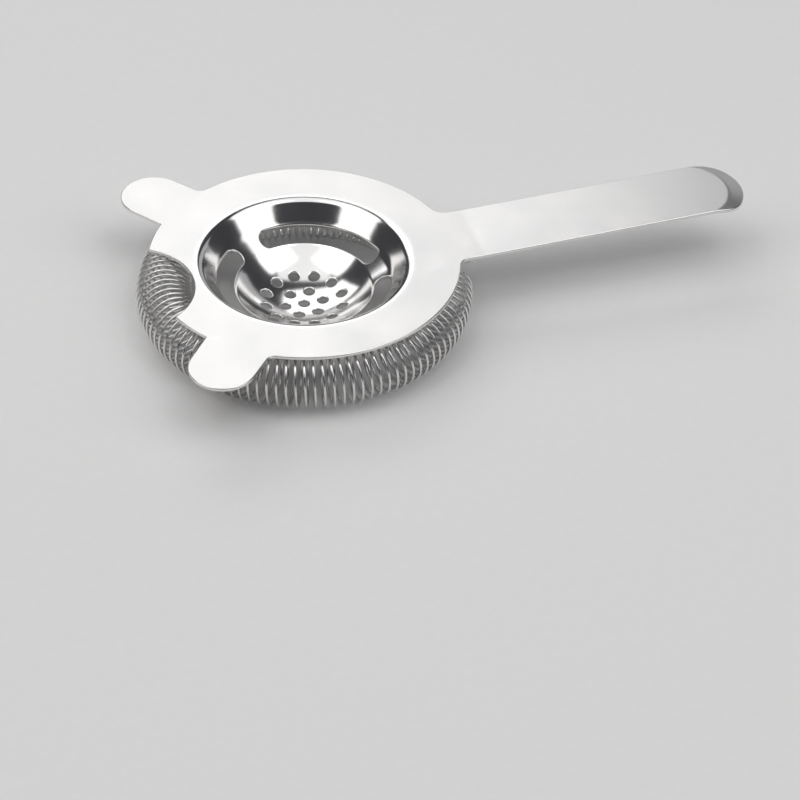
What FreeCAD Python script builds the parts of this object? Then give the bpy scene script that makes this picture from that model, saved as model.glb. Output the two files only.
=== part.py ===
import FreeCAD, Part
import math
import os

import Sketcher

# A hawthorne strainer for a cocktail shaker tin, in millimetres.
# The strainer is one bent and drawn stainless sheet (disc, two ears, handle and bowl)
# with a coil spring lying in a ring under the disc, its two tails held by small saddles.
# The spring is one wire, held here as eight lengths that touch end to end round the ring.
# Frame: the origin is on the bowl's axis in the plane of the disc's underside, which is
# the plane of the tin's mouth. +X runs along the handle and +Z points up.

Vector = FreeCAD.Vector
UP = Vector(0, 0, 1)
AXIS = Vector(0, 0, 0)

SIZES = [
    # the sheet, seen from above
    ("sheet_thickness", 1.0, "stainless sheet"),
    ("disc_radius", 40.7, "disc that covers the tin's mouth"),
    ("scallop_radius", 17.3, "pouring scallop in the front edge"),
    ("scallop_distance", 47.0, "scallop centre, in front of the bowl's axis"),
    ("handle_width", 20.9, "handle, edge to edge"),
    ("handle_reach", 121.2, "bowl's axis to the handle's tip"),
    ("tip_radius", 12.5, "blunt end of the handle, seen from above"),
    ("tip_corner_radius", 7.5, "corners beside the blunt end"),
    ("root_fillet", 3.5, "fillet between disc and handle"),
    ("ear_radius", 8.7, "rounded end of an ear"),
    ("ear_forward", 31.3, "ear centre, in front of the bowl's axis"),
    ("ear_sideways", 37.5, "ear centre, beside the bowl's axis"),
    ("ear_notch_angle", 142.6, "sharp notch where an ear leaves the disc's front edge"),
    ("ear_back_angle", 40.0, "where the round end runs out into the straight back edge"),
    ("ear_fillet", 2.0, "fillet between an ear's back edge and the disc"),
    # the sheet, seen from the side
    ("handle_bend_at", 46.0, "where the handle starts to rise"),
    ("handle_rise_angle", 2.0, "slope of the handle, degrees"),
    ("handle_bend_radius", 40.0, "bend between disc and handle"),
    ("tip_axis_at", 105.3, "centre of the curved bend at the tip"),
    ("tip_bend_from", 11.6, "radius of the curved bend at the tip"),
    ("tip_drop_angle", 18.0, "slope of the turned down tip, degrees"),
    ("tip_bend_radius", 3.0, "bend at the tip, underside"),
    # the bowl, radius and depth below the disc's upper face at each corner of its section
    ("flange_radius", 30.0, "seam between flat disc and bowl"),
    ("rim_radius", 27.0, "bowl rim corner"),
    ("rim_bend", 1.4, "bend at the rim, underside"),
    ("wall_foot_radius", 22.8, "foot of the steep wall"),
    ("wall_foot_depth", 5.4, "foot of the steep wall"),
    ("wall_foot_bend", 6.0, "bend at the foot of the wall, upper face"),
    ("shoulder_radius", 17.7, "shoulder between slotted ring and cup"),
    ("shoulder_depth", 8.5, "shoulder between slotted ring and cup"),
    ("shoulder_bend", 1.6, "bend at the shoulder, underside"),
    ("cup_slope_angle", 42.0, "slope of the cup below the shoulder, degrees"),
    ("bowl_depth", 14.4, "bottom of the bowl"),
    ("cup_bend", 22.0, "radius of the cup, upper face"),
    # openings in the bowl
    ("slot_count", 3, "kidney slots"),
    ("slot_outer_radius", 22.7, "kidney slot, outer edge"),
    ("slot_inner_radius", 18.3, "kidney slot, inner edge"),
    ("slot_half_angle", 43.0, "middle of the slot to the centre of its rounded end"),
    ("drain_diameter", 2.9, "drain hole"),
    ("inner_drain_circle", 5.1, "radius of the inner circle of holes"),
    ("outer_drain_circle", 10.2, "radius of the outer circle of holes"),
    ("inner_drain_count", 6, "holes in the inner circle"),
    ("outer_drain_count", 12, "holes in the outer circle"),
    # the coil spring
    ("wire_diameter", 0.75, "spring wire"),
    ("coil_radius", 7.4, "one turn, to the middle of the wire"),
    ("ring_radius", 36.4, "ring that the coil follows"),
    ("coil_turns", 104, "turns"),
    ("coil_lengths", 8, "equal lengths that the wire is divided into"),
    ("ring_gap_angle", 12.0, "half the gap between the coil's ends, at the handle"),
    ("coil_clearance", 1.2, "coil tops below the disc's underside"),
    ("tail_bend_radius", 6.0, "bend from the last turn into its tail"),
    ("outer_tail_run", 5.9, "straight end of the tail that points to the handle"),
    ("inner_tail_run", 4.8, "straight end of the tail that points to the bowl"),
    # the saddles that hold the tails
    ("saddle_clearance", 0.15, "around the tail"),
    ("saddle_thickness", 0.4, "strip that the saddle is pressed from"),
    ("saddle_foot", 0.9, "foot on each side"),
    ("saddle_length", 2.2, "along the tail"),
    ("outer_saddle_at", 40.3, "near end of the saddle under the handle's root"),
    ("inner_saddle_at", 29.9, "near end of the saddle beside the bowl"),
]

doc = FreeCAD.newDocument("hawthorne_strainer")
sheet = doc.addObject("Spreadsheet::Sheet", "sizes")
sheet.Label = "sizes"
for row, (alias, value, note) in enumerate(SIZES, start=1):
    sheet.set(f"A{row}", alias)
    sheet.set(f"B{row}", str(value))
    sheet.set(f"C{row}", note)
    sheet.setAlias(f"B{row}", alias)
doc.recompute()


def size(alias):
    return float(getattr(sheet, alias))


def cell(alias):
    return f"<<sizes>>.{alias}"


# Helpers: plane geometry ---------------------------------------------------------------

def polar(radius, degrees, centre=Vector(0, 0, 0)):
    angle = math.radians(degrees)
    return centre + Vector(radius * math.cos(angle), radius * math.sin(angle), 0)


def degrees_of(vector):
    return math.degrees(math.atan2(vector.y, vector.x))


def left_of(vector):
    return Vector(-vector.y, vector.x, 0)


def direction(start, end):
    step = end - start
    step.normalize()
    return step


def line(start, end):
    return {"start": start, "end": end}


def arc(centre, start, end, clockwise=False, radius_formula=None):
    return {"start": start, "end": end, "centre": centre, "clockwise": clockwise,
            "radius_formula": radius_formula}


def bent_sheet(corners, bends, thickness, thickness_formula):
    """Closed section of a bent sheet. corners is the path of one face, bends gives the radius
    and its formula at each inner corner on that face, and the other face lies to the left."""
    near, far = [], []
    side = left_of(direction(corners[0], corners[1])) * thickness
    near_from = corners[0]
    far_from = corners[0] + side
    for before, corner, after, (radius, formula) in zip(corners, corners[1:], corners[2:], bends):
        arriving = direction(before, corner)
        leaving = direction(corner, after)
        turn = math.atan2(arriving.cross(leaving).z, arriving.dot(leaving))
        reach = radius * math.tan(abs(turn) / 2)
        left_turn = turn > 0
        begin = corner - arriving * reach
        finish = corner + leaving * reach
        toward_centre = left_of(arriving) * (radius if left_turn else -radius)
        centre = begin + toward_centre
        far_formula = f"{formula} {'-' if left_turn else '+'} {thickness_formula}"
        far_begin = begin + left_of(arriving) * thickness
        far_finish = finish + left_of(leaving) * thickness
        near.append(line(near_from, begin))
        near.append(arc(centre, begin, finish, not left_turn, formula))
        far.append(line(far_from, far_begin))
        far.append(arc(centre, far_begin, far_finish, not left_turn, far_formula))
        near_from = finish
        far_from = far_finish
    last_side = left_of(direction(corners[-2], corners[-1])) * thickness
    near.append(line(near_from, corners[-1]))
    far.append(line(far_from, corners[-1] + last_side))
    back = [reversed_piece(piece) for piece in reversed(far)]
    return (near + [line(corners[-1], corners[-1] + last_side)]
            + back + [line(corners[0] + side, corners[0])])


def reversed_piece(piece):
    turned = dict(piece, start=piece["end"], end=piece["start"])
    if "centre" in piece:
        turned["clockwise"] = not piece["clockwise"]
    return turned


def mirrored(point):
    return Vector(point.x, -point.y, point.z)


def mirrored_piece(piece):
    """The piece on the other side of the X axis. An outline is followed the same way round, so
    its ends change places and its arcs keep their sense."""
    other = dict(piece, start=mirrored(piece["end"]), end=mirrored(piece["start"]))
    if "centre" in piece:
        other["centre"] = mirrored(piece["centre"])
    return other


# Helpers: FreeCAD objects --------------------------------------------------------------

def new_body(name):
    body = doc.addObject("PartDesign::Body", name)
    body.Label = name
    return body


def origin_feature(body, role):
    return [item for item in body.Origin.OriginFeatures if item.Role == role][0]


def new_sketch(body, name, plane, height=0.0):
    sketch = body.newObject("Sketcher::SketchObject", name)
    sketch.AttachmentSupport = (origin_feature(body, plane), [""])
    sketch.MapMode = "FlatFace"
    sketch.AttachmentOffset = FreeCAD.Placement(Vector(0, 0, height), FreeCAD.Rotation())
    return sketch


def draw_outline(sketch, pieces):
    """Draws a closed outline of lines and arcs, joins its ends and ties each arc's radius
    to its formula."""
    START, END = 1, 2
    ends = []
    for piece in pieces:
        if "centre" not in piece:
            index = sketch.addGeometry(Part.LineSegment(piece["start"], piece["end"]))
            ends.append((index, START, END))
            continue
        centre = piece["centre"]
        first, last = piece["start"], piece["end"]
        if piece["clockwise"]:
            first, last = last, first
        first_angle = math.radians(degrees_of(first - centre))
        last_angle = math.radians(degrees_of(last - centre))
        if last_angle <= first_angle:
            last_angle += 2 * math.pi
        circle = Part.Circle(centre, UP, (first - centre).Length)
        index = sketch.addGeometry(Part.ArcOfCircle(circle, first_angle, last_angle))
        ends.append((index, END, START) if piece["clockwise"] else (index, START, END))
        if piece["radius_formula"]:
            add_radius(sketch, index, circle.Radius, piece["radius_formula"])
    for this, following in zip(ends, ends[1:] + ends[:1]):
        sketch.addConstraint(
            Sketcher.Constraint("Coincident", this[0], this[2], following[0], following[1]))


def add_radius(sketch, index, value, formula):
    constraint = sketch.addConstraint(Sketcher.Constraint("Radius", index, value))
    sketch.setExpression(f"Constraints[{constraint}]", formula)


def pad(body, name, sketch, length_formula, midplane=False):
    feature = body.newObject("PartDesign::Pad", name)
    feature.Profile = sketch
    feature.Midplane = midplane
    feature.setExpression("Length", length_formula)
    return feature


def pocket_both_ways(body, name, sketch, length_formula):
    feature = body.newObject("PartDesign::Pocket", name)
    feature.Profile = sketch
    feature.Midplane = True
    feature.setExpression("Length", length_formula)
    return feature


def repeat_round_axis(body, name, feature, count_formula):
    pattern = body.newObject("PartDesign::PolarPattern", name)
    pattern.Originals = [feature]
    pattern.Axis = (origin_feature(body, "Z_Axis"), [""])
    pattern.Angle = 360
    pattern.setExpression("Occurrences", count_formula)
    body.Tip = pattern
    return pattern


# The sheet: disc, handle and ears ------------------------------------------------------

BLANK_HEIGHT = 60.0
BLANK_WIDTH = 120.0
RISE = math.radians(size("handle_rise_angle"))


def plan_outline():
    """Disc with the scallop cut from its front and the handle's strip at its back. The right
    half is worked out here, and the left half is its mirror image."""
    disc = size("disc_radius")
    half_width = size("handle_width") / 2
    scallop = size("scallop_radius")
    scallop_centre = Vector(-size("scallop_distance"), 0, 0)
    notch_x = (disc ** 2 - scallop ** 2 + scallop_centre.x ** 2) / (2 * scallop_centre.x)
    notch = Vector(notch_x, -math.sqrt(disc ** 2 - notch_x ** 2), 0)

    fillet = size("root_fillet")
    fillet_y = half_width + fillet
    fillet_centre = Vector(math.sqrt((disc + fillet) ** 2 - fillet_y ** 2), -fillet_y, 0)
    disc_end = direction(AXIS, fillet_centre) * disc
    handle_start = fillet_centre + Vector(0, fillet, 0)

    tip = size("tip_radius")
    corner = size("tip_corner_radius")
    tip_centre = Vector(size("handle_reach") - tip, 0, 0)
    corner_y = half_width - corner
    corner_x = tip_centre.x + math.sqrt((tip - corner) ** 2 - corner_y ** 2)
    corner_centre = Vector(corner_x, -corner_y, 0)
    handle_end = corner_centre - Vector(0, corner, 0)
    corner_end = tip_centre + direction(tip_centre, corner_centre) * tip

    right = [
        arc(AXIS, notch, disc_end, False, cell("disc_radius")),
        arc(fillet_centre, disc_end, handle_start, True, cell("root_fillet")),
        line(handle_start, handle_end),
        arc(corner_centre, handle_end, corner_end, False, cell("tip_corner_radius")),
    ]
    left = [mirrored_piece(piece) for piece in reversed(right)]
    end = arc(tip_centre, corner_end, mirrored(corner_end), False, cell("tip_radius"))
    front = arc(scallop_centre, mirrored(notch), notch, True, cell("scallop_radius"))
    return right + [end] + left + [front]


def side_section():
    """The sheet's section along the handle, flat and then rising, up to the tip's curved bend.
    The path is the underside, so the upper face lies to its left."""
    start = Vector(-2 * size("disc_radius"), 0, 0)
    bend = Vector(size("handle_bend_at"), 0, 0)
    run = size("tip_axis_at") - size("handle_bend_at")
    end = bend + Vector(run, run * math.tan(RISE), 0)
    bends = [(size("handle_bend_radius"), cell("handle_bend_radius"))]
    return bent_sheet([start, bend, end], bends, size("sheet_thickness"),
                      cell("sheet_thickness"))


def tip_section():
    """The tip's section, turned about an axis set back from it: flat, then sloping down.
    The path is the underside."""
    drop = math.radians(size("tip_drop_angle"))
    bend = Vector(size("tip_bend_from"), 0, 0)
    past_tip = size("handle_width") / 2
    end = bend + Vector(past_tip, -past_tip * math.tan(drop), 0)
    bends = [(size("tip_bend_radius"), cell("tip_bend_radius"))]
    return bent_sheet([Vector(0, 0, 0), bend, end], bends, size("sheet_thickness"),
                      cell("sheet_thickness"))


def ear_outline():
    """One ear on the +Y side: a straight front edge from a sharp notch, a round end, and a
    straight back edge with a small fillet at the disc. It closes inside the disc."""
    disc = size("disc_radius")
    ear = size("ear_radius")
    fillet = size("ear_fillet")
    centre = Vector(-size("ear_forward"), size("ear_sideways"), 0)
    notch = polar(disc, size("ear_notch_angle"))
    to_notch = notch - centre
    tangent_angle = degrees_of(to_notch) - math.degrees(math.acos(ear / to_notch.Length))
    front_tangent = polar(ear, tangent_angle, centre)
    back_tangent = polar(ear, size("ear_back_angle"), centre)
    outward = direction(centre, back_tangent)
    back_heading = left_of(outward) * -1
    # The fillet's centre is on a line beside the back edge and on a circle round the disc.
    from_axis = back_tangent + outward * fillet
    along = from_axis.dot(back_heading)
    beside_squared = from_axis.dot(from_axis) - along ** 2
    step = -along - math.sqrt((disc + fillet) ** 2 - beside_squared)
    fillet_centre = back_tangent + outward * fillet + back_heading * step
    on_edge = fillet_centre - outward * fillet
    on_disc = direction(AXIS, fillet_centre) * disc
    return [
        line(notch, front_tangent),
        arc(centre, front_tangent, back_tangent, True, cell("ear_radius")),
        line(back_tangent, on_edge),
        arc(fillet_centre, on_edge, on_disc, False, cell("ear_fillet")),
        line(on_disc, notch),
    ]


plan_body = new_body("plan_blank")
plan_sketch = new_sketch(plan_body, "plan_outline", "XY_Plane")
draw_outline(plan_sketch, plan_outline())
pad(plan_body, "plan_pad", plan_sketch, str(BLANK_HEIGHT), midplane=True)

side_body = new_body("side_blank")
side_sketch = new_sketch(side_body, "side_outline", "XZ_Plane")
draw_outline(side_sketch, side_section())
pad(side_body, "side_pad", side_sketch, str(BLANK_WIDTH), midplane=True)

tip_body = new_body("tip_blank")
tip_sketch = new_sketch(tip_body, "tip_section", "XZ_Plane")
draw_outline(tip_sketch, tip_section())
tip_turn = tip_body.newObject("PartDesign::Revolution", "tip_turn")
tip_turn.Profile = tip_sketch
tip_turn.ReferenceAxis = (tip_sketch, ["V_Axis"])
tip_turn.Angle = 180
tip_turn.Midplane = True
tip_rise = (size("tip_axis_at") - size("handle_bend_at")) * math.tan(RISE)
tip_body.Placement = FreeCAD.Placement(
    Vector(0, 0, tip_rise), FreeCAD.Rotation(Vector(0, 1, 0), -size("handle_rise_angle")))
tip_body.setExpression("Placement.Base.x", cell("tip_axis_at"))

bent_strip = doc.addObject("Part::Fuse", "bent_strip")
bent_strip.Base = side_body
bent_strip.Tool = tip_body

bent_blank = doc.addObject("Part::Common", "bent_blank")
bent_blank.Base = plan_body
bent_blank.Tool = bent_strip

bowl_opening = doc.addObject("Part::Cylinder", "bowl_opening")
bowl_opening.setExpression("Radius", cell("flange_radius"))
bowl_opening.setExpression("Height", str(BLANK_HEIGHT))
bowl_opening.setExpression("Placement.Base.z", str(-BLANK_HEIGHT / 2))

flat_sheet = doc.addObject("Part::Cut", "flat_sheet")
flat_sheet.Base = bent_blank
flat_sheet.Tool = bowl_opening

ear_body = new_body("ear_blank")
ear_sketch = new_sketch(ear_body, "ear_outline", "XY_Plane")
draw_outline(ear_sketch, ear_outline())
pad(ear_body, "ear_pad", ear_sketch, cell("sheet_thickness"))

opposite_ear = doc.addObject("Part::Mirroring", "opposite_ear")
opposite_ear.Source = ear_body
opposite_ear.Normal = Vector(0, 1, 0)


# The sheet: bowl -----------------------------------------------------------------------

def bowl_section():
    """Half section of the bowl from its axis out to the flat disc. The path is the underside,
    so the upper face lies to its left; the corners are offset from the upper face's."""
    thickness = size("sheet_thickness")
    slope = math.radians(size("cup_slope_angle"))
    cup_run = (size("bowl_depth") - size("shoulder_depth")) / math.tan(slope)
    upper = [
        Vector(0, -size("bowl_depth"), 0),
        Vector(size("shoulder_radius") - cup_run, -size("bowl_depth"), 0),
        Vector(size("shoulder_radius"), -size("shoulder_depth"), 0),
        Vector(size("wall_foot_radius"), -size("wall_foot_depth"), 0),
        Vector(size("rim_radius"), 0, 0),
        Vector(size("flange_radius"), 0, 0),
    ]
    lift = Vector(0, thickness, 0)
    upper = [corner + lift for corner in upper]
    lower = [upper[0] - lift]
    for before, corner, after in zip(upper, upper[1:], upper[2:]):
        arriving = direction(before, corner)
        leaving = direction(corner, after)
        half_turn = arriving.getAngle(leaving) / 2
        outward = left_of(arriving) + left_of(leaving)
        outward.normalize()
        lower.append(corner - outward * (thickness / math.cos(half_turn)))
    lower.append(upper[-1] - lift)
    plus_sheet = f" + {cell('sheet_thickness')}"
    bends = [
        (size("cup_bend") + thickness, cell("cup_bend") + plus_sheet),
        (size("shoulder_bend"), cell("shoulder_bend")),
        (size("wall_foot_bend") + thickness, cell("wall_foot_bend") + plus_sheet),
        (size("rim_bend"), cell("rim_bend")),
    ]
    return bent_sheet(lower, bends, thickness, cell("sheet_thickness"))


def slot_outline(middle_angle):
    outer = size("slot_outer_radius")
    inner = size("slot_inner_radius")
    half = size("slot_half_angle")
    middle = (outer + inner) / 2
    first, last = middle_angle - half, middle_angle + half
    end_formula = f"({cell('slot_outer_radius')} - {cell('slot_inner_radius')}) / 2"
    return [
        arc(AXIS, polar(outer, first), polar(outer, last), False, cell("slot_outer_radius")),
        arc(polar(middle, last), polar(outer, last), polar(inner, last), False, end_formula),
        arc(AXIS, polar(inner, last), polar(inner, first), True, cell("slot_inner_radius")),
        arc(polar(middle, first), polar(inner, first), polar(outer, first), False, end_formula),
    ]


bowl_body = new_body("bowl")
bowl_sketch = new_sketch(bowl_body, "bowl_section", "XZ_Plane")
draw_outline(bowl_sketch, bowl_section())
bowl_turn = bowl_body.newObject("PartDesign::Revolution", "bowl_turn")
bowl_turn.Profile = bowl_sketch
bowl_turn.ReferenceAxis = (bowl_sketch, ["V_Axis"])
bowl_turn.Angle = 360
doc.recompute()
PLAIN_BOWL_VOLUME = bowl_body.Shape.Volume

slot_sketch = new_sketch(bowl_body, "slot_outline", "XY_Plane")
draw_outline(slot_sketch, slot_outline(180))
slot_cut = pocket_both_ways(bowl_body, "slot_cut", slot_sketch, str(BLANK_HEIGHT))
repeat_round_axis(bowl_body, "slots", slot_cut, cell("slot_count"))



def drain_cut(name, from_axis):
    sketch = new_sketch(bowl_body, f"{name}_outline", "XY_Plane")
    radius = size("drain_diameter") / 2
    circle = sketch.addGeometry(Part.Circle(Vector(from_axis, 0, 0), UP, radius))
    add_radius(sketch, circle, radius, f"{cell('drain_diameter')} / 2")
    return pocket_both_ways(bowl_body, name, sketch, str(BLANK_HEIGHT))


for ring in ("inner", "outer"):
    ring_cut = drain_cut(f"{ring}_drain", size(f"{ring}_drain_circle"))
    repeat_round_axis(bowl_body, f"{ring}_drains", ring_cut, cell(f"{ring}_drain_count"))
bowl_body.Tip = drain_cut("centre_drain", 0.0)

strainer_plate = doc.addObject("Part::MultiFuse", "strainer_plate")
strainer_plate.Shapes = [flat_sheet, ear_body, opposite_ear, bowl_body]
strainer_plate.Refine = False
strainer_plate.Label = "strainer_plate"
doc.recompute()


# The coil spring -----------------------------------------------------------------------

WIRE_RADIUS = size("wire_diameter") / 2
COIL_TOP = -size("coil_clearance") - WIRE_RADIUS
TURN_STEP = (360 - 2 * size("ring_gap_angle")) / size("coil_turns")
TOP_OF_TURN = 90.0
ARC_PAIRS_PER_TURN = 4
SMALL_ANGLE = 0.01


def coil_point(turn_angle):
    """Middle of the wire. turn_angle runs round one turn in degrees, from the outermost point
    over the top, and each full turn moves on clockwise round the ring by TURN_STEP."""
    turn = math.radians(turn_angle)
    ring_angle = -size("ring_gap_angle") - TURN_STEP * (turn_angle - TOP_OF_TURN) / 360
    point = polar(size("ring_radius") + size("coil_radius") * math.cos(turn), ring_angle)
    point.z = COIL_TOP - size("coil_radius") * (1 - math.sin(turn))
    return point


def coil_heading(turn_angle):
    return direction(coil_point(turn_angle - SMALL_ANGLE), coil_point(turn_angle + SMALL_ANGLE))


def arc_between(start, end, apex):
    """Centre, axis and angle of the arc from start to end whose tangents meet at apex."""
    arriving = direction(start, apex)
    leaving = direction(apex, end)
    turn = arriving.getAngle(leaving)
    axis = direction(AXIS, arriving.cross(leaving))
    radius = (apex - start).Length / math.tan(turn / 2)
    return start + axis.cross(arriving) * radius, axis, math.degrees(turn)


def arc_pair(start, heading, end, leaving):
    """Two arcs that join without a corner, from one point and heading to another."""
    step = end - start
    headings = heading + leaving
    square = 2 * (heading.dot(leaving) - 1)
    slope = -2 * step.dot(headings)
    reach = (-slope - math.sqrt(slope ** 2 - 4 * square * step.dot(step))) / (2 * square)
    first_apex = start + heading * reach
    last_apex = end - leaving * reach
    joint = (first_apex + last_apex) / 2
    return [arc_between(start, joint, first_apex), arc_between(joint, end, last_apex)]


def coil_arcs():
    spans = ARC_PAIRS_PER_TURN * int(size("coil_turns"))
    angles = [TOP_OF_TURN + 360 * span / ARC_PAIRS_PER_TURN for span in range(spans + 1)]
    points = [coil_point(angle) for angle in angles]
    headings = [coil_heading(angle) for angle in angles]
    arcs = []
    for start, heading, end, leaving in zip(points, headings, points[1:], headings[1:]):
        arcs.extend(arc_pair(start, heading, end, leaving))
    return arcs


def tail_plan(start, heading, target):
    """Centre and angle of a flat bend from a heading to the target direction."""
    turn = math.radians(degrees_of(target) - degrees_of(heading))
    turn = math.degrees(math.atan2(math.sin(turn), math.cos(turn)))
    side = size("tail_bend_radius") if turn > 0 else -size("tail_bend_radius")
    centre = start + direction(AXIS, left_of(heading)) * side
    return centre, turn


def turned(point, centre, degrees):
    return centre + FreeCAD.Rotation(UP, degrees).multVec(point - centre)


def tail_end(start, heading, target):
    """Where the tail's bend ends and its straight run begins."""
    centre, turn = tail_plan(start, heading, target)
    return turned(start, centre, turn)


def tail_faces(section, start, heading, target, run):
    """Faces of a tail: the bend, the straight run and the cut end of the wire."""
    centre, turn = tail_plan(start, heading, target)
    bend, section = turned_wire(section, centre, UP * math.copysign(1, turn), abs(turn))
    straight = section.extrude(target * run)
    section = section.copy()
    section.translate(target * run)
    return [bend, straight, cut_across(section)]


def cut_across(section):
    return Part.Face(Part.Wire([section]))


def turned_wire(section, centre, axis, degrees):
    """The face that a section edge sweeps round an axis, and the edge where it ends."""
    face = section.revolve(centre, axis, degrees)
    end = section.copy()
    end.rotate(centre, axis, degrees)
    return face, end


def wire_solid(faces):
    shell = Part.makeShell(faces)
    shell.sewShape()
    shell = shell.Shells[0]
    if not shell.isClosed():
        raise RuntimeError("the skin of the spring's wire is open")
    solid = Part.makeSolid(shell)
    if solid.Volume < 0:
        solid.reverse()
    return solid


def coil_lengths():
    """The whole wire from tail to tail, divided into lengths that touch end to end."""
    first_point = coil_point(TOP_OF_TURN)
    first_heading = coil_heading(TOP_OF_TURN)
    section = Part.Circle(first_point, first_heading, WIRE_RADIUS).toShape()
    faces = tail_faces(section, first_point, first_heading * -1, Vector(1, 0, 0),
                       size("outer_tail_run"))
    arcs = coil_arcs()
    arcs_per_length = len(arcs) // int(size("coil_lengths"))
    lengths = []
    for count, (centre, axis, degrees) in enumerate(arcs, start=1):
        face, section = turned_wire(section, centre, axis, degrees)
        faces.append(face)
        if count % arcs_per_length == 0 and count < len(arcs):
            cut = cut_across(section)
            lengths.append(wire_solid(faces + [cut]))
            faces = [cut]
    last_angle = TOP_OF_TURN + 360 * size("coil_turns")
    faces += tail_faces(section, coil_point(last_angle), coil_heading(last_angle),
                        Vector(-1, 0, 0), size("inner_tail_run"))
    lengths.append(wire_solid(faces))
    return lengths


coil_spring = []
for number, shape in enumerate(coil_lengths(), start=1):
    spring_length = doc.addObject("Part::Feature", f"coil_spring_{number}")
    spring_length.Shape = shape
    spring_length.Label = f"coil_spring_{number}"
    coil_spring.append(spring_length)


# The saddles ---------------------------------------------------------------------------

def saddle_outline():
    """Section across the tail: two feet against the disc and an arch under the wire."""
    inner = WIRE_RADIUS + size("saddle_clearance")
    outer = inner + size("saddle_thickness")
    foot = outer + size("saddle_foot")
    strip = size("saddle_thickness")
    middle = Vector(0, COIL_TOP, 0)
    inner_formula = f"{cell('wire_diameter')} / 2 + {cell('saddle_clearance')}"
    outer_formula = f"{inner_formula} + {cell('saddle_thickness')}"
    return [
        line(Vector(-foot, 0, 0), Vector(-foot, -strip, 0)),
        line(Vector(-foot, -strip, 0), Vector(-outer, -strip, 0)),
        line(Vector(-outer, -strip, 0), Vector(-outer, COIL_TOP, 0)),
        arc(middle, Vector(-outer, COIL_TOP, 0), Vector(outer, COIL_TOP, 0), False,
            outer_formula),
        line(Vector(outer, COIL_TOP, 0), Vector(outer, -strip, 0)),
        line(Vector(outer, -strip, 0), Vector(foot, -strip, 0)),
        line(Vector(foot, -strip, 0), Vector(foot, 0, 0)),
        line(Vector(foot, 0, 0), Vector(inner, 0, 0)),
        line(Vector(inner, 0, 0), Vector(inner, COIL_TOP, 0)),
        arc(middle, Vector(inner, COIL_TOP, 0), Vector(-inner, COIL_TOP, 0), True,
            inner_formula),
        line(Vector(-inner, COIL_TOP, 0), Vector(-inner, 0, 0)),
        line(Vector(-inner, 0, 0), Vector(-foot, 0, 0)),
    ]


def tail_side(turn_angle, target):
    """How far beside the handle's middle line a tail's straight run lies."""
    heading = coil_heading(turn_angle)
    if heading.dot(target) < 0:
        heading = heading * -1
    return tail_end(coil_point(turn_angle), heading, target).y


LAST_TURN = TOP_OF_TURN + 360 * size("coil_turns")
SADDLES = [
    ("outer_tail_saddle", "outer_saddle_at", tail_side(TOP_OF_TURN, Vector(1, 0, 0))),
    ("inner_tail_saddle", "inner_saddle_at", tail_side(LAST_TURN, Vector(-1, 0, 0))),
]
saddles = []
for name, place_alias, sideways in SADDLES:
    saddle = new_body(name)
    saddle_sketch = new_sketch(saddle, f"{name}_section", "YZ_Plane")
    draw_outline(saddle_sketch, saddle_outline())
    pad(saddle, f"{name}_pad", saddle_sketch, cell("saddle_length"))
    saddle.Placement = FreeCAD.Placement(Vector(0, sideways, 0), FreeCAD.Rotation())
    saddle.setExpression("Placement.Base.x", cell(place_alias))
    saddles.append(saddle)

doc.recompute()


# Checks and export ---------------------------------------------------------------------

for item in doc.Objects:
    if "Invalid" in item.State or "Error" in item.State:
        raise RuntimeError(f"{item.Name} failed: {item.State}")

if bowl_body.Shape.Volume >= PLAIN_BOWL_VOLUME:
    raise RuntimeError("the slots and drain holes cut nothing")

os.makedirs("parts", exist_ok=True)
for piece in [strainer_plate] + coil_spring + saddles:
    shape = piece.Shape
    if shape.isNull() or not shape.isValid() or len(shape.Solids) != 1:
        raise RuntimeError(f"{piece.Label} has no single valid solid")
    box = shape.BoundBox
    print(f"{piece.Label}: {shape.Volume:.1f} mm3, x {box.XMin:.2f} to {box.XMax:.2f}, "
          f"y {box.YMin:.2f} to {box.YMax:.2f}, z {box.ZMin:.2f} to {box.ZMax:.2f}, "
          f"{len(shape.Faces)} faces")
    shape.exportStep(f"parts/{piece.Label}.step")
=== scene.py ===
import math

import bpy
import numpy as np
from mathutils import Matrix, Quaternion, Vector
from mathutils.geometry import delaunay_2d_cdt


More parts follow.
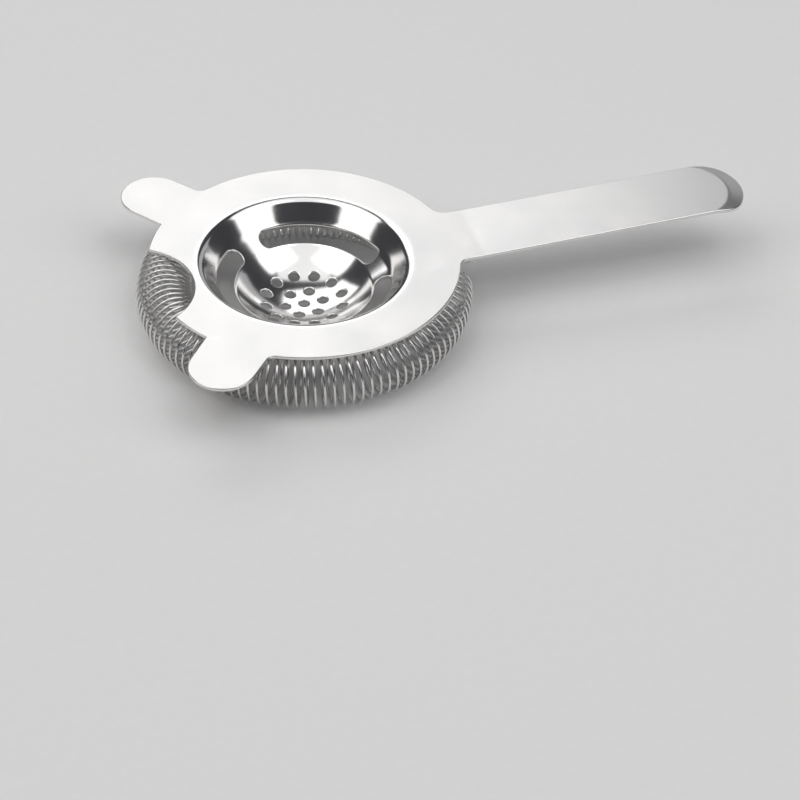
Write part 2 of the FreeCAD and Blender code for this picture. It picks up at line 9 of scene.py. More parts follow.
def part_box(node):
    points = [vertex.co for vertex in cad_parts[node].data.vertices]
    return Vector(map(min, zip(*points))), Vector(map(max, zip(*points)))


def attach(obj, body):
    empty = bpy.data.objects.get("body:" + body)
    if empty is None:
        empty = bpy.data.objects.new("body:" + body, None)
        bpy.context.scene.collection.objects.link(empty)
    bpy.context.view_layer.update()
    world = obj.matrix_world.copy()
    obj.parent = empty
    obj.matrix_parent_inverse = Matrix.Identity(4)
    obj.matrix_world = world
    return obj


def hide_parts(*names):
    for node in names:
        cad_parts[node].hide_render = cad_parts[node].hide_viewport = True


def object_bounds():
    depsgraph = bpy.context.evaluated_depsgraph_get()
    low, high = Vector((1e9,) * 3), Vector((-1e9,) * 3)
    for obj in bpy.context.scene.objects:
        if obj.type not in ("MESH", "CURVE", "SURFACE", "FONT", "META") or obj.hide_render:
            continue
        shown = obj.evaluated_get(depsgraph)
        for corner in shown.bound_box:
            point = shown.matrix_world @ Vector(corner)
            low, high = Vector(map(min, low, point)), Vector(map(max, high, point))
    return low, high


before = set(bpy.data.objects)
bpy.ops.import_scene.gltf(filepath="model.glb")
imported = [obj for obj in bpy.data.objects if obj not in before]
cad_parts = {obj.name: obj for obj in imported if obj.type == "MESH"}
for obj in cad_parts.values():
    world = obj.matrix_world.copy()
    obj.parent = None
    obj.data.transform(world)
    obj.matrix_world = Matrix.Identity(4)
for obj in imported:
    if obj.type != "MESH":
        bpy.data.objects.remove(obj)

# A hawthorne strainer: one bent and drawn stainless sheet with a coil spring under its disc.
# Shapes are worked out in millimetres and turned into metres when a mesh is made. Angles are
# in degrees. The frame is the CAD model's: origin on the bowl's axis in the plane of the
# disc's underside, +X along the handle and +Z up.

CAD_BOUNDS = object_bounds()
MM = 0.001

# The sheet, seen from above
SHEET = 1.0
DISC = 40.7
SCALLOP = 17.3
SCALLOP_X = -47.0
HANDLE_HALF = 10.45
HANDLE_REACH = 121.2
TIP_ROUND = 12.5
TIP_CORNER = 7.5
ROOT_FILLET = 3.5
EAR = 8.7
EAR_CENTRE = np.array([-31.3, -37.5])
EAR_NOTCH = 142.6
EAR_BACK = 40.0
EAR_FILLET = 2.0
CORNER_ROUND = 0.35
EDGE_ROUND = 0.28
EDGE_STEPS = 5

# The sheet's mesh: how finely curves are divided, and how close its points may come to an edge
ARC_STEP = 0.6
ARC_STEP_DEGREES = 5
STRAIGHT_STEP = 1.5
BEND_STEPS = 40
DRAIN_STEPS = 48
EDGE_CLEARANCE = 0.3
SAME_POINT = 1e-4
INSIDE_ONLY = 1
CDT_TOLERANCE = 1e-5

# The sheet, seen from the side
BEND_X = 46.0
RISE = 2.0
BEND_ROUND = 40.0
TIP_AXIS_X = 105.3
TIP_FROM = 11.6
TIP_DROP = 18.0
TIP_BEND = 3.0

# The bowl's upper face: corners of its section and the bend at each inner one
CUP_SLOPE = 42.0
BOWL_DEPTH = 14.4
SHOULDER = (17.7, -8.5)
BOWL_CORNERS = [
    (0.0, -BOWL_DEPTH),
    (SHOULDER[0] - (BOWL_DEPTH + SHOULDER[1]) / math.tan(math.radians(CUP_SLOPE)), -BOWL_DEPTH),
    SHOULDER,
    (22.8, -5.4),
    (27.0, 0.0),
    (60.0, 0.0),
]
BOWL_BENDS = [22.0, 2.6, 6.0, 2.4]
SLOT_OUTER = 22.7
SLOT_INNER = 18.3
SLOT_HALF_ANGLE = 43.0
SLOT_MIDDLES = (180.0, 300.0, 60.0)
DRAIN = 1.45
DRAIN_CIRCLES = ((0.0, 1), (5.1, 6), (10.2, 12))

# The spring
WIRE = 0.375
COIL = 7.4
RING = 36.4
TURNS = 104
GAP = 12.0
COIL_TOP = -1.2 - WIRE
TURN_STEP = (360 - 2 * GAP) / TURNS
TAIL_BEND = 6.0
OUTER_TAIL = 5.9
INNER_TAIL = 4.8
WIRE_SIDES = 14
SAMPLES_PER_TURN = 30
TAIL_BEND_SAMPLES = 17
TAIL_RUN_SAMPLES = 6
WIRE_END_LEANS = (0.7, 1.2)
WIRE_END_DEPTH = 0.5
COIL_NODES = [f"coil_spring_{number}" for number in range(1, 9)]

# The saddles
SADDLE_STRIP = 0.4
SADDLE_FOOT = 0.9
SADDLE_SPACE = 0.15
SADDLE_FOLD = 0.22
SADDLE_EDGE = 0.07
SHARP_DEGREES = 35


# Plane curves ------------------------------------------------------------------------------

def unit(vector):
    return vector / np.linalg.norm(vector)


def polar(radius, degrees, centre=(0.0, 0.0)):
    angle = np.radians(degrees)
    return np.stack([centre[0] + radius * np.cos(angle), centre[1] + radius * np.sin(angle)], -1)


def degrees_of(vector):
    return math.degrees(math.atan2(vector[1], vector[0]))


def arc(centre, radius, first, last):
    """Points from the first angle to the last; counter-clockwise where last is larger."""
    length = radius * math.radians(abs(last - first))
    steps = max(2, math.ceil(length / ARC_STEP), math.ceil(abs(last - first) / ARC_STEP_DEGREES))
    return polar(radius, np.linspace(first, last, steps + 1), centre)


def straight(start, end):
    steps = max(1, math.ceil(np.linalg.norm(end - start) / STRAIGHT_STEP))
    return np.linspace(start, end, steps + 1)


def cut_back(points, length):
    """The curve without its last stretch of that length."""
    left = length
    while np.linalg.norm(points[-1] - points[-2]) <= left:
        left -= np.linalg.norm(points[-1] - points[-2])
        points = points[:-1]
    end = points[-1] + unit(points[-2] - points[-1]) * left
    return np.vstack([points[:-1], end])


def rounded_corner(before, after, radius):
    """Both curves cut back from the corner where they meet, with a small arc between them."""
    arriving = unit(before[-1] - before[-2])
    leaving = unit(after[1] - after[0])
    turn = math.atan2(arriving[0] * leaving[1] - arriving[1] * leaving[0], arriving @ leaving)
    reach = radius * math.tan(abs(turn) / 2)
    before = cut_back(before, reach)
    after = cut_back(after[::-1], reach)[::-1]
    side = math.copysign(1, turn)
    centre = before[-1] + radius * side * np.array([-arriving[1], arriving[0]])
    first = degrees_of(before[-1] - centre)
    return before, arc(centre, radius, first, first + math.degrees(turn)), after


def joined(curves):
    """One closed loop from curves that follow each other, without repeated points."""
    points = np.vstack(curves)
    keep = np.linalg.norm(points - np.roll(points, 1, 0), axis=1) > SAME_POINT
    return points[keep]


def outline():
    """The sheet's edge, counter-clockwise. The half at -Y is worked out and then mirrored."""
    origin = np.zeros(2)
    scallop_centre = np.array([SCALLOP_X, 0.0])
    notch_x = (DISC ** 2 - SCALLOP ** 2 + SCALLOP_X ** 2) / (2 * SCALLOP_X)
    lip = np.array([notch_x, -math.sqrt(DISC ** 2 - notch_x ** 2)])
    lip_angle = degrees_of(lip) % 360

    notch = polar(DISC, -EAR_NOTCH)
    to_notch = notch - EAR_CENTRE
    spread = math.degrees(math.acos(EAR / np.linalg.norm(to_notch)))
    ear_first = degrees_of(to_notch) + spread
    ear_last = 360 - EAR_BACK
    outward = polar(1.0, ear_last)
    along = np.array([-outward[1], outward[0]])
    beside = EAR_CENTRE + outward * (EAR + EAR_FILLET)
    run = beside @ along
    reach = -run - math.sqrt((DISC + EAR_FILLET) ** 2 - (beside @ beside - run ** 2))
    fillet_centre = beside + along * reach
    fillet_last = degrees_of(-fillet_centre)
    ear_root = degrees_of(fillet_centre)

    root_y = HANDLE_HALF + ROOT_FILLET
    root_centre = np.array([math.sqrt((DISC + ROOT_FILLET) ** 2 - root_y ** 2), -root_y])
    root_angle = degrees_of(root_centre)
    corner_y = HANDLE_HALF - TIP_CORNER
    tip_centre = np.array([HANDLE_REACH - TIP_ROUND, 0.0])
    corner_x = tip_centre[0] + math.sqrt((TIP_ROUND - TIP_CORNER) ** 2 - corner_y ** 2)
    corner_centre = np.array([corner_x, -corner_y])
    corner_angle = degrees_of(corner_centre - tip_centre)

    front = arc(origin, DISC, lip_angle, 360 - EAR_NOTCH)
    ear_front = straight(notch, polar(EAR, ear_first, EAR_CENTRE))
    front, notch_round, ear_front = rounded_corner(front, ear_front, CORNER_ROUND)
    scallop_first = degrees_of(lip * (1, -1) - scallop_centre)
    scallop = arc(scallop_centre, SCALLOP, scallop_first, -scallop_first)
    scallop, lip_round, front = rounded_corner(scallop, front, CORNER_ROUND)
    half_scallop = scallop[len(scallop) // 2:]
    handle_y = np.array([root_centre[0], -HANDLE_HALF])
    half = [
        half_scallop, lip_round, front, notch_round, ear_front,
        arc(EAR_CENTRE, EAR, ear_first, ear_last),
        straight(EAR_CENTRE + outward * EAR, fillet_centre - outward * EAR_FILLET),
        arc(fillet_centre, EAR_FILLET, ear_last - 180, fillet_last),
        arc(origin, DISC, ear_root, root_angle),
        arc(root_centre, ROOT_FILLET, root_angle + 180, 90),
        straight(handle_y, corner_centre - (0.0, TIP_CORNER)),
        arc(corner_centre, TIP_CORNER, -90, corner_angle),
        arc(tip_centre, TIP_ROUND, corner_angle, 0),
    ]
    mirror = [curve[::-1] * (1, -1) for curve in reversed(half)]
    return joined(half + mirror)


def slot_loop(middle):
    """A kidney slot, clockwise, so the sheet lies to its left."""
    first, last = middle - SLOT_HALF_ANGLE, middle + SLOT_HALF_ANGLE
    centre_radius = (SLOT_OUTER + SLOT_INNER) / 2
    end = (SLOT_OUTER - SLOT_INNER) / 2
    return joined([
        arc((0, 0), SLOT_INNER, first, last),
        arc(polar(centre_radius, last), end, last + 180, last),
        arc((0, 0), SLOT_OUTER, last, first),
        arc(polar(centre_radius, first), end, first, first - 180),
    ])


def drain_loops():
    for circle, count in DRAIN_CIRCLES:
        for step in range(count):
            centre = polar(circle, 360 * step / count)
            yield polar(DRAIN, np.linspace(360, 0, DRAIN_STEPS, endpoint=False), centre)


def outward_of(loop):
    """Unit vectors out of the sheet, which lies to the left of the loop."""
    ahead = np.roll(loop, -1, 0) - np.roll(loop, 1, 0)
    side = np.stack([ahead[:, 1], -ahead[:, 0]], 1)
    return side / np.linalg.norm(side, axis=1, keepdims=True)


def inside(points, loop):
    """Which points lie inside the loop."""
    result = np.zeros(len(points), bool)
    for start, end in zip(loop, np.roll(loop, -1, 0)):
        crosses = (start[1] > points[:, 1]) != (end[1] > points[:, 1])
        rise = end[1] - start[1]
        if rise:
            at = start[0] + (points[:, 1] - start[1]) * (end[0] - start[0]) / rise
            result ^= crosses & (points[:, 0] < at)
    return result


def clear_of(points, loop, gap):
    """Which points are at least gap away from the loop's points."""
    result = np.ones(len(points), bool)
    for part in np.array_split(np.arange(len(points)), 40):
        apart = points[part, None, :] - loop[None, :, :]
        result[part] = (apart ** 2).sum(2).min(1) > gap ** 2
    return result


# The sheet's surfaces ----------------------------------------------------------------------

def bent_path(corners, bends, lift):
    """A section's line as columns: place across, height and slope, at fine steps."""
    corners = np.array(corners, float) + (0.0, lift)
    rows = []
    for before, corner, after, bend in zip(corners, corners[1:], corners[2:], bends):
        arriving = math.atan2(*(corner - before)[::-1])
        leaving = math.atan2(*(after - corner)[::-1])
        turn = leaving - arriving
        begin = corner - unit(corner - before) * bend * math.tan(abs(turn) / 2)
        side = math.copysign(1, turn)
        centre = begin + bend * side * np.array([-math.sin(arriving), math.cos(arriving)])
        angles = np.linspace(arriving, leaving, BEND_STEPS)
        rows += [(centre[0] + bend * side * math.sin(a), centre[1] - bend * side * math.cos(a), a)
                 for a in angles]
    first = (*corners[0], rows[0][2])
    last = (*corners[-1], rows[-1][2])
    return np.array([first] + rows + [last]).T


def other_face(path, distance):
    """The line at that distance to the left of a section's line."""
    across, height, slope = path
    return np.array([across - distance * np.sin(slope), height + distance * np.cos(slope), slope])


UPPER_BOWL = bent_path(BOWL_CORNERS, BOWL_BENDS, SHEET)
HANDLE_END = 140.0
HANDLE_CORNERS = [(0.0, 0.0), (BEND_X, 0.0),
                  (HANDLE_END, (HANDLE_END - BEND_X) * math.tan(math.radians(RISE)))]
LOWER_HANDLE = bent_path(HANDLE_CORNERS, [BEND_ROUND], 0.0)
TIP_END = 22.0
TIP_CORNERS = [(0.0, 0.0), (TIP_FROM, 0.0),
               (TIP_END, (TIP_FROM - TIP_END) * math.tan(math.radians(TIP_DROP)))]
LOWER_TIP = bent_path(TIP_CORNERS, [TIP_BEND], 0.0)
FACES = {
    "upper": (UPPER_BOWL, other_face(LOWER_HANDLE, SHEET), other_face(LOWER_TIP, SHEET), SHEET),
    "lower": (other_face(UPPER_BOWL, -SHEET), LOWER_HANDLE, LOWER_TIP, 0.0),
}


def read_path(path, at):
    return np.interp(at, path[0], path[1]), np.tan(np.interp(at, path[0], path[2]))


def face_at(points, side):
    """Height and upward unit normal of one face of the sheet at places in plan."""
    bowl, handle, tip, level = FACES[side]
    x, y = points.T
    radius = np.maximum(np.hypot(x, y), 1e-6)
    tip_x = np.maximum(x - TIP_AXIS_X, 0)
    tip_y = np.where(tip_x > 0, y, 0)
    tip_radius = np.maximum(np.hypot(tip_x, tip_y), 1e-6)
    bowl_z, bowl_slope = read_path(bowl, radius)
    handle_z, handle_slope = read_path(handle, x)
    tip_z, tip_slope = read_path(tip, tip_radius)
    height = bowl_z + handle_z + tip_z - 2 * level
    slope_x = bowl_slope * x / radius + handle_slope + tip_slope * tip_x / tip_radius
    slope_y = bowl_slope * y / radius + tip_slope * tip_y / tip_radius
    normal = np.stack([-slope_x, -slope_y, np.ones_like(x)], 1)
    return height, normal / np.linalg.norm(normal, axis=1, keepdims=True)


def ring_points(radii, count, centre=(0.0, 0.0)):
    angles = np.arange(count) * 360 / count
    return np.vstack([polar(radius, angles + (180 / count if odd % 2 else 0), centre)
                      for odd, radius in enumerate(radii)])


def plan_points():
    """Places in plan for the sheet's mesh, close together where the sheet bends."""
    steps = np.arange
    rings = np.vstack([
        ring_points(steps(2.0, 8.0, 0.75), 72),
        ring_points(steps(8.0, 16.2, 0.7), 144),
        ring_points(steps(16.2, 19.6, 0.22), 240),
        ring_points(steps(19.6, 25.4, 0.45), 240),
        ring_points(steps(25.4, 28.9, 0.2), 300),
        ring_points(steps(29.2, 40.6, 1.3), 180),
    ])
    handle_x = np.concatenate([steps(40.0, 45.0, 1.7), steps(45.0, 47.1, 0.25),
                               steps(48.5, 115.0, 2.0)])
    handle = np.stack(np.meshgrid(handle_x, steps(-9.0, 9.1, 2.0)), -1).reshape(-1, 2)
    outside_disc = np.hypot(*handle.T) > 41.4
    before_tip = handle[:, 0] < TIP_AXIS_X
    inside_tip_bend = np.hypot(handle[:, 0] - TIP_AXIS_X, handle[:, 1]) < 10.8
    handle = handle[outside_disc & (before_tip | inside_tip_bend)]
    tip = ring_points(np.concatenate([steps(11.0, 12.6, 0.12), steps(13.2, 16.0, 0.8)]),
                      120, (TIP_AXIS_X, 0.0))
    tip = tip[tip[:, 0] > TIP_AXIS_X + 0.5]
    ear = np.stack(np.meshgrid(steps(-41.0, -18.0, 1.9), steps(-47.0, 47.1, 1.9)), -1)
    ear = ear.reshape(-1, 2)
    ear = ear[np.hypot(*ear.T) > 41.6]
    return np.vstack([rings, handle, tip, ear])


# Mesh making -------------------------------------------------------------------------------

def make_mesh(name, points, faces, normals=None):
    """A smooth shaded object from points in millimetres."""
    mesh = bpy.data.meshes.new(name)
    mesh.from_pydata((np.asarray(points) * MM).tolist(), [], faces)
    mesh.shade_smooth()
    if normals is not None:
        mesh.normals_split_custom_set_from_vertices(np.asarray(normals).tolist())
    mesh.validate(clean_customdata=False)
    thing = bpy.data.objects.new(name, mesh)
    bpy.context.scene.collection.objects.link(thing)
    return thing


def make_sheet():
    """Both faces of the sheet share one plan of triangles, and a rounded edge joins them."""
    loops = [outline()] + [slot_loop(middle) for middle in SLOT_MIDDLES] + list(drain_loops())
    outwards = [outward_of(loop) for loop in loops]
    insets = [loop - outward * EDGE_ROUND for loop, outward in zip(loops, outwards)]
    cloud = plan_points()
    keep = inside(cloud, insets[0])
    for hole in insets[1:]:
        keep &= ~inside(cloud, hole)
    for inset in insets:
        keep &= clear_of(cloud, inset, EDGE_CLEARANCE)
    cloud = cloud[keep]

    starts = np.cumsum([0] + [len(inset) for inset in insets])
    edges = [(start + step, start + (step + 1) % len(inset))
             for start, inset in zip(starts, insets) for step in range(len(inset))]
    plan_in = np.vstack(insets + [cloud])
    found = delaunay_2d_cdt([Vector(point) for point in plan_in], edges, [], INSIDE_ONLY,
                            CDT_TOLERANCE)
    plan = np.array([tuple(point) for point in found[0]])
    triangles = np.array([tuple(face) for face in found[2]])
    middles = plan[triangles].mean(1)
    solid = np.ones(len(triangles), bool)
    for hole in insets[1:]:
        solid &= ~inside(middles, hole)
    triangles = [tuple(triangle) for triangle in triangles[solid]]
    moved_to = {old: new for new, olds in enumerate(found[3]) for old in olds}
    edge_set = np.array([moved_to[index] for index in range(starts[-1])])

    upper_z, upper_n = face_at(plan, "upper")
    lower_z, lower_n = face_at(plan, "lower")
    points = [np.column_stack([plan, upper_z]), np.column_stack([plan, lower_z])]
    normals = [upper_n, -lower_n]
    faces = triangles + [tuple(index + len(plan) for index in face[::-1]) for face in triangles]
    worn = [np.zeros(2 * len(plan))]

    roll = np.radians(np.linspace(0, 90, EDGE_STEPS + 1))[1:]
    count = 2 * len(plan)
    for loop, outward, start in zip(loops, outwards, starts):
        rows = [edge_set[start:start + len(loop)]]
        flat = np.column_stack([outward, np.zeros(len(loop))])
        levels = [("upper", angle) for angle in roll] + [("lower", angle) for angle in roll[::-1]]
        for side, angle in levels:
            place = loop - outward * EDGE_ROUND * (1 - math.sin(angle))
            height, normal = face_at(place, side)
            sign = 1 if side == "upper" else -1
            height = height - sign * EDGE_ROUND * (1 - math.cos(angle))
            lean = sign * normal * math.cos(angle) + flat * math.sin(angle)
            points.append(np.column_stack([place, height]))
            normals.append(lean / np.linalg.norm(lean, axis=1, keepdims=True))
            worn.append(np.ones(len(loop)))
            rows.append(np.arange(count, count + len(loop)))
            count += len(loop)
        rows.append(edge_set[start:start + len(loop)] + len(plan))
        for above, below in zip(rows, rows[1:]):
            faces += [(above[i - 1], below[i - 1], below[i], above[i]) for i in range(len(loop))]
    faces = [tuple(int(index) for index in face) for face in faces]
    sheet = make_mesh("sheet", np.vstack(points), faces, np.vstack(normals))
    wear = sheet.data.attributes.new("edge_wear", "FLOAT", "POINT")
    wear.data.foreach_set("value", np.concatenate(worn))
    return sheet


def coil_points(turn_angles):
    turn = np.radians(turn_angles)
    ring_angle = -GAP - TURN_STEP * (turn_angles - 90) / 360
    plan = polar(1.0, ring_angle) * (RING + COIL * np.cos(turn))[:, None]
    return np.column_stack([plan, COIL_TOP - COIL * (1 - np.sin(turn))])


def tail_points(start, heading, target_x, run):
    """A flat bend from the heading to +X or -X, then a straight run, without the start."""
    first = degrees_of(heading)
    target = 0.0 if target_x > 0 else 180.0
    turn = (target - first + 180) % 360 - 180
    side = math.copysign(1, turn)
    centre = start[:2] + TAIL_BEND * side * polar(1.0, first + 90)
    angles = first - 90 * side + np.linspace(0, turn, TAIL_BEND_SAMPLES)
    bend = polar(TAIL_BEND, angles, centre)
    straight_end = bend[-1] + (target_x * run, 0.0)
    plan = np.vstack([bend[1:], np.linspace(bend[-1], straight_end, TAIL_RUN_SAMPLES)[1:]])
    return np.column_stack([plan, np.full(len(plan), start[2])])


def wire_path():
    coil = coil_points(90 + np.linspace(0, 360 * TURNS, SAMPLES_PER_TURN * TURNS + 1))
    outer = tail_points(coil[0], coil[0] - coil[1], 1, OUTER_TAIL)
    inner = tail_points(coil[-1], coil[-1] - coil[-2], -1, INNER_TAIL)
    return np.vstack([outer[::-1], coil, inner])


def make_wire(name, path, radius, sides):
    """A round wire along a path, with rounded ends."""
    ahead = np.gradient(path, axis=0)
    ahead /= np.linalg.norm(ahead, axis=1, keepdims=True)
    side = np.cross(ahead[0], (0.0, 0.0, 1.0))
    round_angles = np.arange(sides) * 2 * math.pi / sides
    points, normals, faces = [], [], []

    def add_ring(centre, forward, across, size, lean):
        over = np.cross(forward, across)
        spokes = np.cos(round_angles)[:, None] * across + np.sin(round_angles)[:, None] * over
        points.append(centre + spokes * size)
        normals.append(spokes * math.cos(lean) + forward * math.sin(lean))

    for index, (centre, forward) in enumerate(zip(path, ahead)):
        side = unit(side - forward * (side @ forward))
        if 0 < index < len(path) - 1:
            add_ring(centre, forward, side, radius, 0.0)
            continue
        end = 1 if index else -1
        for lean in sorted(end * lean for lean in WIRE_END_LEANS):
            push = forward * radius * WIRE_END_DEPTH * (math.sin(lean) - end)
            add_ring(centre + push, forward, side, radius * math.cos(lean), lean)
    rings = len(points)
    for ring in range(rings - 1):
        here, there = ring * sides, (ring + 1) * sides
        faces += [(here + i, here + (i + 1) % sides, there + (i + 1) % sides, there + i)
                  for i in range(sides)]
    faces.append(tuple(range(sides))[::-1])
    faces.append(tuple(range((rings - 1) * sides, rings * sides)))
    return make_mesh(name, np.vstack(points), faces, np.vstack(normals))


def make_saddle(name):
    """A strip pressed to an arch under the wire, between two flat feet on the disc."""
    low, high = (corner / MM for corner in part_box(name))
    middle_y = (low.y + high.y) / 2
    inner = WIRE + SADDLE_SPACE
    outer = inner + SADDLE_STRIP
    foot = outer + SADDLE_FOOT
    bend = np.linspace(180, 360, 25)
    arch_out = polar(outer, bend, (0.0, COIL_TOP))
    arch_in = polar(inner, bend[::-1], (0.0, COIL_TOP))
    fillet = polar(SADDLE_FOLD, np.linspace(90, 0, 7),
                   (-outer - SADDLE_FOLD, -SADDLE_STRIP - SADDLE_FOLD))
    left = [(-foot, 0.0), (-foot, -SADDLE_STRIP)]
    section = np.vstack([left, fillet, arch_out, fillet[::-1] * (-1, 1),
                         [(foot, -SADDLE_STRIP), (foot, 0.0), (inner, 0.0)], arch_in,
                         [(-inner, 0.0)]])
    start = [(low.x, middle_y + y, z) for y, z in section]
    end = [(high.x, middle_y + y, z) for y, z in section]
    size = len(section)
    faces = [(i, (i + 1) % size, size + (i + 1) % size, size + i) for i in range(size)]
    faces += [tuple(range(size))[::-1], tuple(range(size, 2 * size))]
    saddle = make_mesh(f"{name}_strip", start + end, faces)
    saddle.data.set_sharp_from_angle(angle=math.radians(SHARP_DEGREES))
    bevel = saddle.modifiers.new("edges", "BEVEL")
    bevel.width = SADDLE_EDGE * MM
    bevel.segments = 3
    bevel.limit_method = "ANGLE"
    bevel.angle_limit = math.radians(SHARP_DEGREES)
    return saddle


# Materials ---------------------------------------------------------------------------------

class Nodes:
    """Short ways to add and join shader nodes."""

    def __init__(self, name):
        self.material = bpy.data.materials.new(name)
        self.material.use_nodes = True
        self.tree = self.material.node_tree
        self.shader = self.tree.nodes["Principled BSDF"]
        self.place = self.add("ShaderNodeTexCoord").outputs["Object"]

    def add(self, kind, **settings):
        node = self.tree.nodes.new(kind)
        for key, value in settings.items():
            setattr(node, key, value)
        return node

    def put(self, value, socket):
        if isinstance(value, bpy.types.NodeSocket):
            self.tree.links.new(value, socket)
        else:
            socket.default_value = value

    def maths(self, operation, first, second=0.0):
        node = self.add("ShaderNodeMath", operation=operation)
        self.put(first, node.inputs[0])
        self.put(second, node.inputs[1])
        return node.outputs[0]

    def stretch(self, scale, turn=(0.0, 0.0, 0.0)):
        node = self.add("ShaderNodeMapping")
        self.put(self.place, node.inputs["Vector"])
        node.inputs["Scale"].default_value = scale
        node.inputs["Rotation"].default_value = turn
        return node.outputs[0]

    def noise(self, scale, detail=3.0, roughness=0.5, place=None):
        node = self.add("ShaderNodeTexNoise")
        self.put(place or self.place, node.inputs["Vector"])
        node.inputs["Scale"].default_value = scale
        node.inputs["Detail"].default_value = detail
        node.inputs["Roughness"].default_value = roughness
        return node.outputs["Fac"]

    def spread(self, value, low, high, out_low=0.0, out_high=1.0, smooth=False):
        node = self.add("ShaderNodeMapRange")
        if smooth:
            node.interpolation_type = "SMOOTHSTEP"
        self.put(value, node.inputs["Value"])
        for socket, number in zip(node.inputs[1:5], (low, high, out_low, out_high)):
            self.put(number, socket)
        return node.outputs["Result"]

    def blend(self, amount, first, second):
        """A number between two numbers."""
        node = self.add("ShaderNodeMix", data_type="FLOAT")
        for socket, value in zip((node.inputs[0], node.inputs[2], node.inputs[3]),
                                 (amount, first, second)):
            self.put(value, socket)
        return node.outputs[0]

    def colours(self, amount, first, second):
        node = self.add("ShaderNodeMix", data_type="RGBA")
        for socket, value in zip((node.inputs[0], node.inputs[6], node.inputs[7]),
                                 (amount, first, second)):
            self.put(value, socket)
        return node.outputs[2]

    def bump(self, height, depth, strength=1.0, after=None):
        node = self.add("ShaderNodeBump")
        node.inputs["Strength"].default_value = strength
        node.inputs["Distance"].default_value = depth
        self.put(height, node.inputs["Height"])
        if after:
            self.put(after, node.inputs["Normal"])
        return node.outputs[0]

    def from_axis(self):
        """Distance from the bowl's axis, in metres."""
        flat = self.add("ShaderNodeVectorMath", operation="MULTIPLY")
        self.put(self.place, flat.inputs[0])
        flat.inputs[1].default_value = (1, 1, 0)
        length = self.add("ShaderNodeVectorMath", operation="LENGTH")
        self.put(flat.outputs[0], length.inputs[0])
        return length.outputs["Value"]


def grey(level, warmth=0.0):
    return (level * (1 + warmth), level, level * (1 - warmth), 1.0)


def sheet_material():
    """Satin all over, polished like a mirror inside the bowl's rim, edges rubbed bright."""
    n = Nodes("satin_sheet_steel")
    radius = n.from_axis()
    wobble = n.maths("MULTIPLY", n.maths("SUBTRACT", n.noise(90, 2), 0.5), 0.0008)
    polished = n.spread(n.maths("ADD", radius, wobble), 0.0272, 0.0292, 1.0, 0.0, smooth=True)
    cloud = n.noise(55, 4, 0.55)
    grain = n.noise(2600, 2, 0.6)
    rub = n.noise(1.0, 3, 0.65, n.stretch((120, 2600, 400), (0, 0, 0.5)))
    cross_rub = n.noise(1.0, 3, 0.65, n.stretch((2400, 140, 400), (0, 0, 0.9)))
    scratches = n.maths("MAXIMUM", n.spread(rub, 0.66, 0.8), n.spread(cross_rub, 0.68, 0.82))
    wear = n.add("ShaderNodeAttribute", attribute_name="edge_wear").outputs["Fac"]

    satin = n.maths("ADD", n.spread(cloud, 0.3, 0.7, 0.30, 0.38),
                    n.spread(grain, 0.3, 0.7, -0.03, 0.03))
    satin = n.maths("SUBTRACT", satin, n.maths("MULTIPLY", scratches, 0.07))
    satin = n.blend(n.maths("MULTIPLY", wear, 0.7), satin, 0.2)
    mirror = n.spread(cloud, 0.3, 0.75, 0.1, 0.16)
    mirror = n.maths("ADD", mirror, n.maths("MULTIPLY", scratches, 0.03))
    n.put(n.blend(polished, satin, mirror), n.shader.inputs["Roughness"])

    tone = n.colours(n.spread(cloud, 0.25, 0.75), grey(0.76, 0.012), grey(0.82, 0.006))
    n.put(tone, n.shader.inputs["Base Color"])
    n.shader.inputs["Metallic"].default_value = 1.0

    rings = n.maths("SINE", n.maths("MULTIPLY", radius, 21000.0))
    rings = n.maths("MULTIPLY", n.maths("MULTIPLY", rings, polished), 0.25)
    pits = n.maths("MULTIPLY", grain, n.maths("SUBTRACT", 1.0, polished))
    height = n.maths("ADD", n.maths("ADD", pits, rings), n.maths("MULTIPLY", scratches, -0.6))
    fine = n.bump(height, 0.0000035)
    n.put(n.bump(n.noise(160, 2, 0.4), 0.000018, 1.0, fine), n.shader.inputs["Normal"])
    return n.material


def wire_material():
    """Bright drawn wire with fine lines round it and a trace of grime in random patches."""
    n = Nodes("spring_wire_steel")
    lines = n.noise(1400, 3, 0.6)
    patches = n.noise(260, 3, 0.5)
    n.put(n.spread(lines, 0.3, 0.7, 0.16, 0.27), n.shader.inputs["Roughness"])
    n.put(n.colours(n.spread(patches, 0.35, 0.75), grey(0.8, 0.0), grey(0.68, 0.02)),
          n.shader.inputs["Base Color"])
    n.shader.inputs["Metallic"].default_value = 1.0
    n.put(n.bump(lines, 0.000006), n.shader.inputs["Normal"])
    return n.material


def saddle_material():
    """Plain strip as it comes from the press, with fine lines along it."""
    n = Nodes("saddle_strip_steel")
    lines = n.noise(1.0, 3, 0.6, n.stretch((500, 5200, 5200)))
    spots = n.noise(900, 2, 0.5)
    n.put(n.spread(lines, 0.3, 0.7, 0.26, 0.4), n.shader.inputs["Roughness"])
    n.put(n.colours(n.spread(spots, 0.4, 0.8), grey(0.66, 0.0), grey(0.52, 0.015)),
          n.shader.inputs["Base Color"])
    n.shader.inputs["Metallic"].default_value = 1.0
    n.put(n.bump(lines, 0.000006), n.shader.inputs["Normal"])
    return n.material


def floor_material():
    n = Nodes("floor_paper")
    fibres = n.noise(420, 4, 0.6)
    n.put(n.colours(fibres, grey(0.8, 0.004), grey(0.84, 0.004)), n.shader.inputs["Base Color"])
    n.shader.inputs["Roughness"].default_value = 0.85
    n.put(n.bump(fibres, 0.00004), n.shader.inputs["Normal"])
    return n.material


# The object --------------------------------------------------------------------------------

sheet = make_sheet()
sheet.data.materials.append(sheet_material())
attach(sheet, "plate")
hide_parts("strainer_plate")

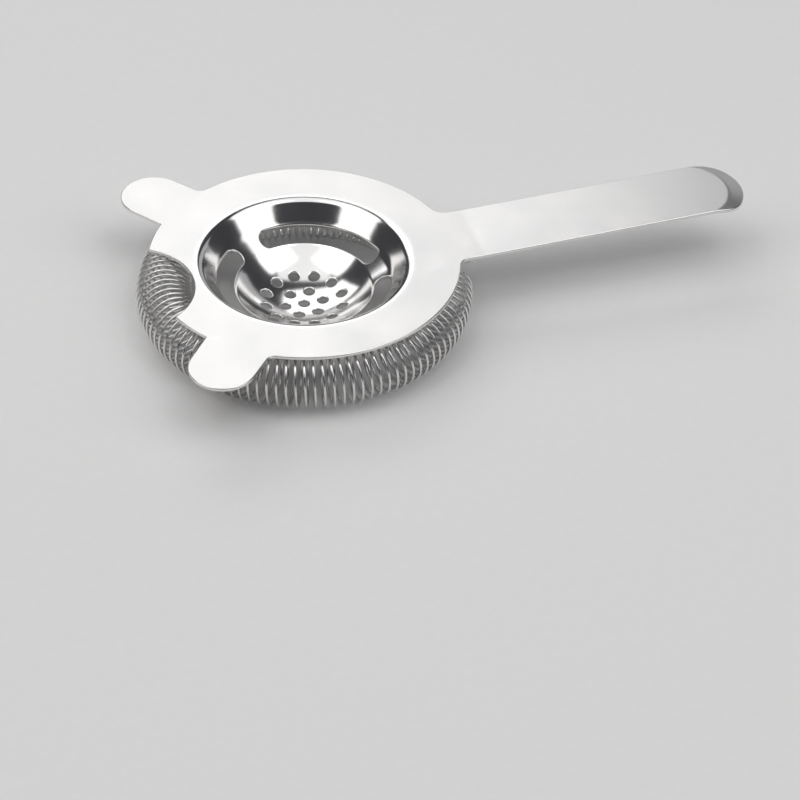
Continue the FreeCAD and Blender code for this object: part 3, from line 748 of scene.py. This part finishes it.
spring = make_wire("spring", wire_path(), WIRE, WIRE_SIDES)
spring.data.materials.append(wire_material())
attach(spring, "spring")
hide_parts(*COIL_NODES)

strip = saddle_material()
for node in ("outer_tail_saddle", "inner_tail_saddle"):
    saddle = make_saddle(node)
    saddle.data.materials.append(strip)
    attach(saddle, "plate")
    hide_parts(node)


# The stage ---------------------------------------------------------------------------------

FLOOR_GAP = 0.00002
FLOOR_HALF = 3.0
floor_z = CAD_BOUNDS[0][2] - FLOOR_GAP
corners = [(-FLOOR_HALF, -FLOOR_HALF), (FLOOR_HALF, -FLOOR_HALF), (FLOOR_HALF, FLOOR_HALF),
           (-FLOOR_HALF, FLOOR_HALF)]
floor = make_mesh("floor", [(x / MM, y / MM, floor_z / MM) for x, y in corners], [(0, 1, 2, 3)])
floor.data.materials.append(floor_material())

CAMERA_PLACE = Vector((-175.52, -634.93, 496.71)) * MM
CAMERA_AIM = Vector((7.87, -60.29, 0.0)) * MM
CAMERA_ROLL = 1.6407
CAMERA_LENS = 142.75
camera_data = bpy.data.cameras.new("camera")
camera_data.lens = CAMERA_LENS
camera_data.sensor_width = 36.0
camera_data.clip_start = 0.01
camera_data.clip_end = 20.0
camera = bpy.data.objects.new("camera", camera_data)
camera.location = CAMERA_PLACE
facing = (CAMERA_AIM - CAMERA_PLACE).to_track_quat("-Z", "Y")
camera.rotation_mode = "QUATERNION"
camera.rotation_quaternion = facing @ Quaternion((0, 0, 1), math.radians(CAMERA_ROLL))
bpy.context.scene.collection.objects.link(camera)
bpy.context.scene.camera = camera

CAMERA_SIDE = 17.7


def softbox(name, turn, elevation, distance, width, height, power, roll=0.0, warmth=0.0):
    """A soft light aimed at the bowl. turn is measured round from the camera's side of the
    object, to the right as seen from the camera."""
    heading = math.radians(-90 - CAMERA_SIDE + turn)
    rise = math.radians(elevation)
    away = Vector((math.cos(heading) * math.cos(rise), math.sin(heading) * math.cos(rise),
                   math.sin(rise)))
    light = bpy.data.lights.new(name, "AREA")
    light.shape = "RECTANGLE"
    light.size = width
    light.size_y = height
    light.energy = power
    light.color = (1.0, 1.0 - warmth * 0.5, 1.0 - warmth)
    lamp = bpy.data.objects.new(name, light)
    lamp.location = away * distance
    lamp.rotation_mode = "QUATERNION"
    facing = (-away).to_track_quat("-Z", "Y")
    lamp.rotation_quaternion = facing @ Quaternion((0, 0, 1), math.radians(roll))
    bpy.context.scene.collection.objects.link(lamp)


softbox("back_softbox", -160, 40, 1.2, 1.0, 0.6, 2.95)
softbox("left_softbox", -72, 50, 1.2, 0.9, 1.1, 4.4, 20, 0.03)
softbox("right_softbox", 72, 50, 1.2, 0.9, 1.1, 4.4, -20)
softbox("top_softbox", 0, 84, 1.2, 1.1, 1.3, 4.6)
softbox("low_softbox", 150, 16, 1.4, 1.2, 0.6, 0.9)

world = bpy.data.worlds.new("studio")
bpy.context.scene.world = world
world.use_nodes = True
surround = world.node_tree.nodes["Background"]
surround.inputs["Color"].default_value = (0.05, 0.05, 0.055, 1.0)
surround.inputs["Strength"].default_value = 1.0
bpy.context.scene.view_settings.view_transform = "Standard"
